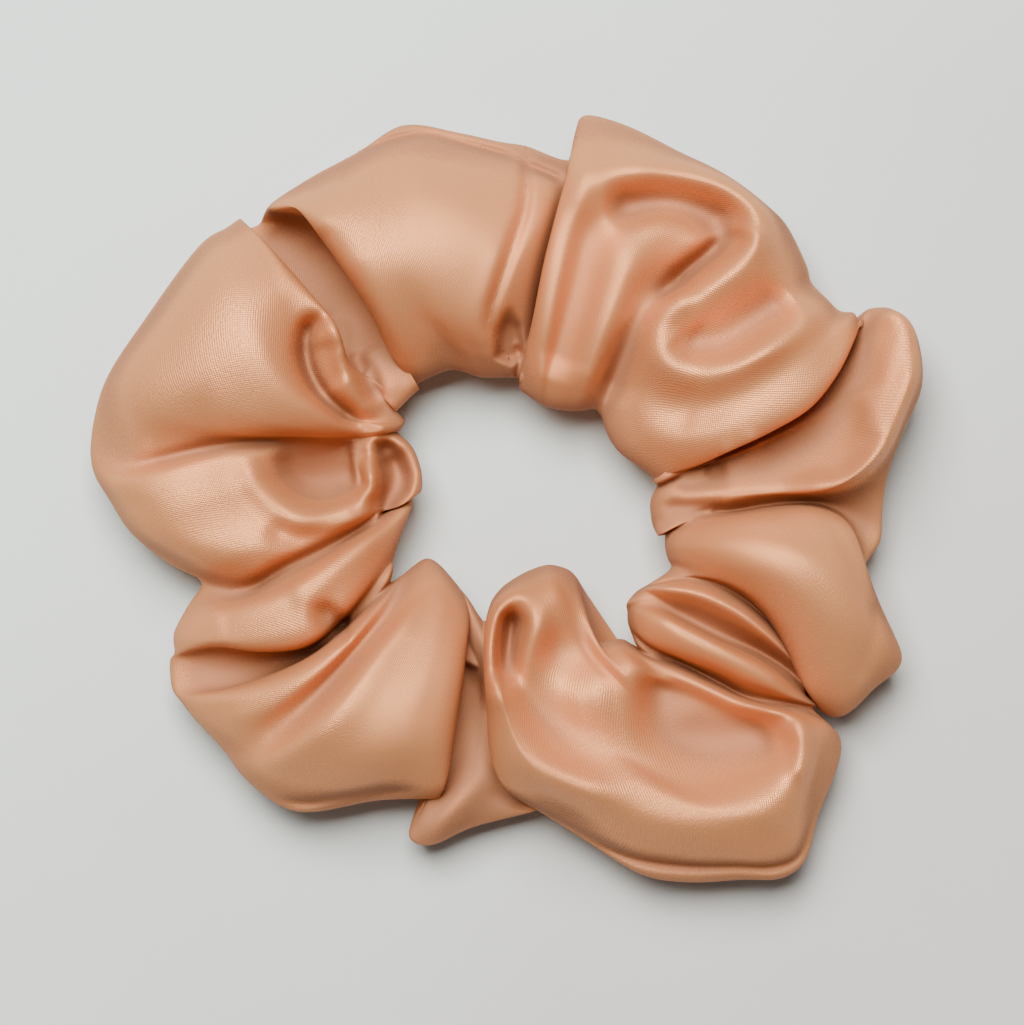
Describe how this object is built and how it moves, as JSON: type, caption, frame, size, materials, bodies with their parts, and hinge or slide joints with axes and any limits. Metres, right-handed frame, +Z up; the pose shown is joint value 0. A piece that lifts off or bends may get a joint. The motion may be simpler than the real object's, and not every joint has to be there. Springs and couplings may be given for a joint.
{
  "type": "hair scrunchie",
  "caption": "Gathered satin scrunchie: a sewn cloth tube in a ring of soft puffs over a flat elastic loop that stretches open.",
  "frame": {"origin": "middle of the overall footprint, on the table the scrunchie lies on", "axes": "+Z up out of the table, through the hair loop; +X along the longest extent; +Y towards the closing seam"},
  "size_m": [0.1094, 0.1026, 0.0288],
  "materials": {
    "satin": "peach satin weave, soft sheen",
    "elastic": "braided over rubber cores, matt",
    "white_thread": "spun polyester, matt",
    "peach_thread": "spun polyester, slight lustre"
  },
  "bodies": {
    "lower_half": {"cover_lower": "satin", "elastic_lower": "elastic", "long_seam_thread_lower": "peach_thread"},
    "upper_half": {"cover_left_end": "satin", "cover_right_end": "satin", "elastic_inner_end": "elastic", "elastic_outer_end": "elastic", "elastic_join_thread": "white_thread", "closing_seam_thread": "peach_thread", "long_seam_thread_upper": "peach_thread"}
  },
  "joints": [
    {"name": "loop_stretch", "type": "slide", "parent": "lower_half", "child": "upper_half", "axis": [0, 1, 0], "range_m": [0, 0.06], "stiffness_N_per_m": 100}
  ]
}
